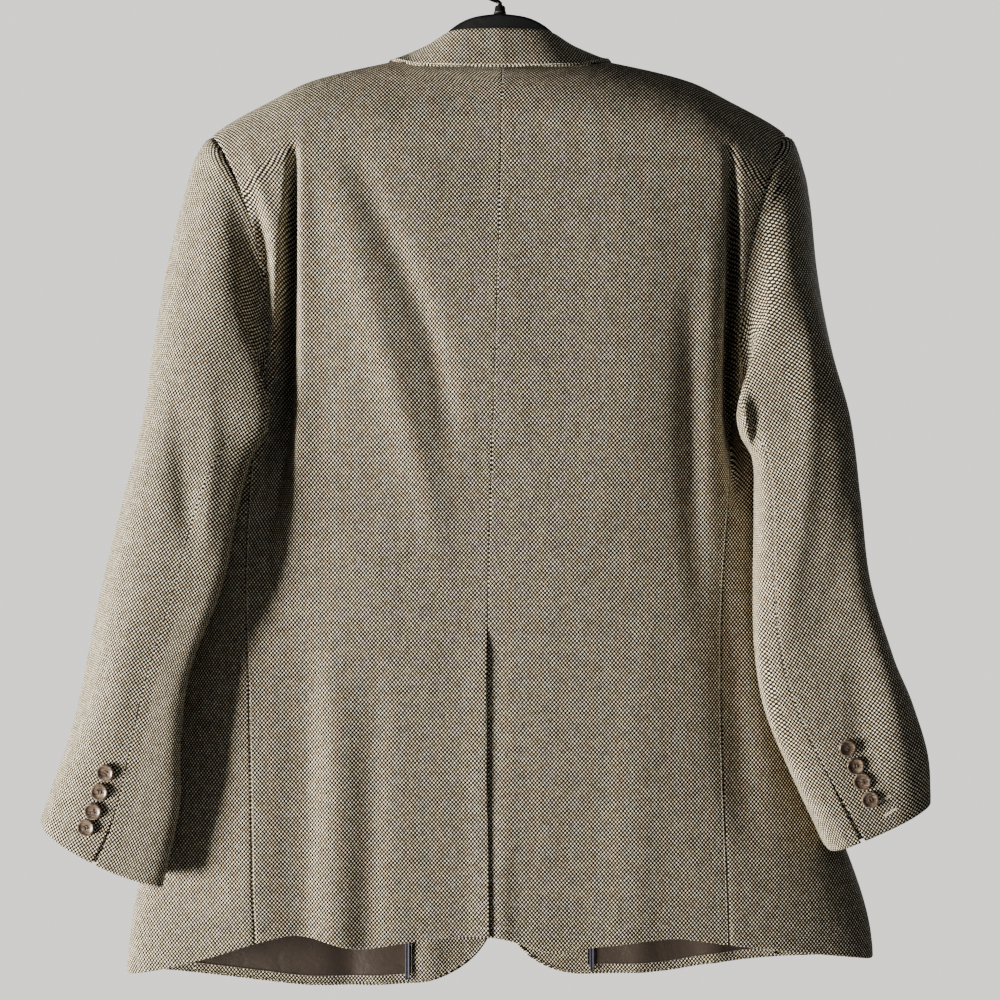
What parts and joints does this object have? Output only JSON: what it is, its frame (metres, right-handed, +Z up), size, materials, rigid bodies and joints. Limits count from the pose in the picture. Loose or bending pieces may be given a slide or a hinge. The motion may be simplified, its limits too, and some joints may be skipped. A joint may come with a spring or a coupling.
{
  "type": "hacking jacket and hanger",
  "caption": "Tailored tweed jacket with a notch collar, slanted flap pockets, a centre vent and set-in sleeves, hanging unbuttoned on a plain black hanger with a wire hook.",
  "frame": {"origin": "inner top of the hanger's hook, where it rests on a rail", "axes": "+Z up, +Y out of the jacket's back, +X towards the wearer's left"},
  "size_m": [0.7792, 0.1627, 0.9279],
  "materials": {
    "tweed": "brown and cream nailhead tweed, woollen, matt",
    "satin_lining": "dark brown satin, soft sheen",
    "horn_button": "mottled brown horn, polished",
    "black_plastic": "moulded, black",
    "hook_wire": "drawn steel wire"
  },
  "bodies": {
    "root": {"back_left": "tweed", "back_right": "tweed", "back_vent_underlap": "tweed", "breast_welt": "tweed", "collar": "tweed", "cuff_button_left_1": "horn_button", "cuff_button_left_2": "horn_button", "cuff_button_left_3": "horn_button", "cuff_button_left_4": "horn_button", "cuff_button_right_1": "horn_button", "cuff_button_right_2": "horn_button", "cuff_button_right_3": "horn_button", "cuff_button_right_4": "horn_button", "facing_left": "tweed", "facing_right": "tweed", "flap_left": "tweed", "flap_right": "tweed", "front_button_1": "horn_button", "front_button_2": "horn_button", "front_left": "tweed", "front_right": "tweed", "hanger": "black_plastic", "hanger_ferrule": "black_plastic", "hanger_hook": "hook_wire", "hem_turn_up_left": "tweed", "hem_turn_up_right": "tweed", "jetting_left": "tweed", "jetting_right": "tweed", "lapel_left": "tweed", "lapel_right": "tweed", "lining_left": "satin_lining", "lining_right": "satin_lining", "side_left": "tweed", "side_right": "tweed", "top_sleeve_left": "tweed", "top_sleeve_right": "tweed", "under_sleeve_left": "tweed", "under_sleeve_right": "tweed"}
  },
  "joints": []
}
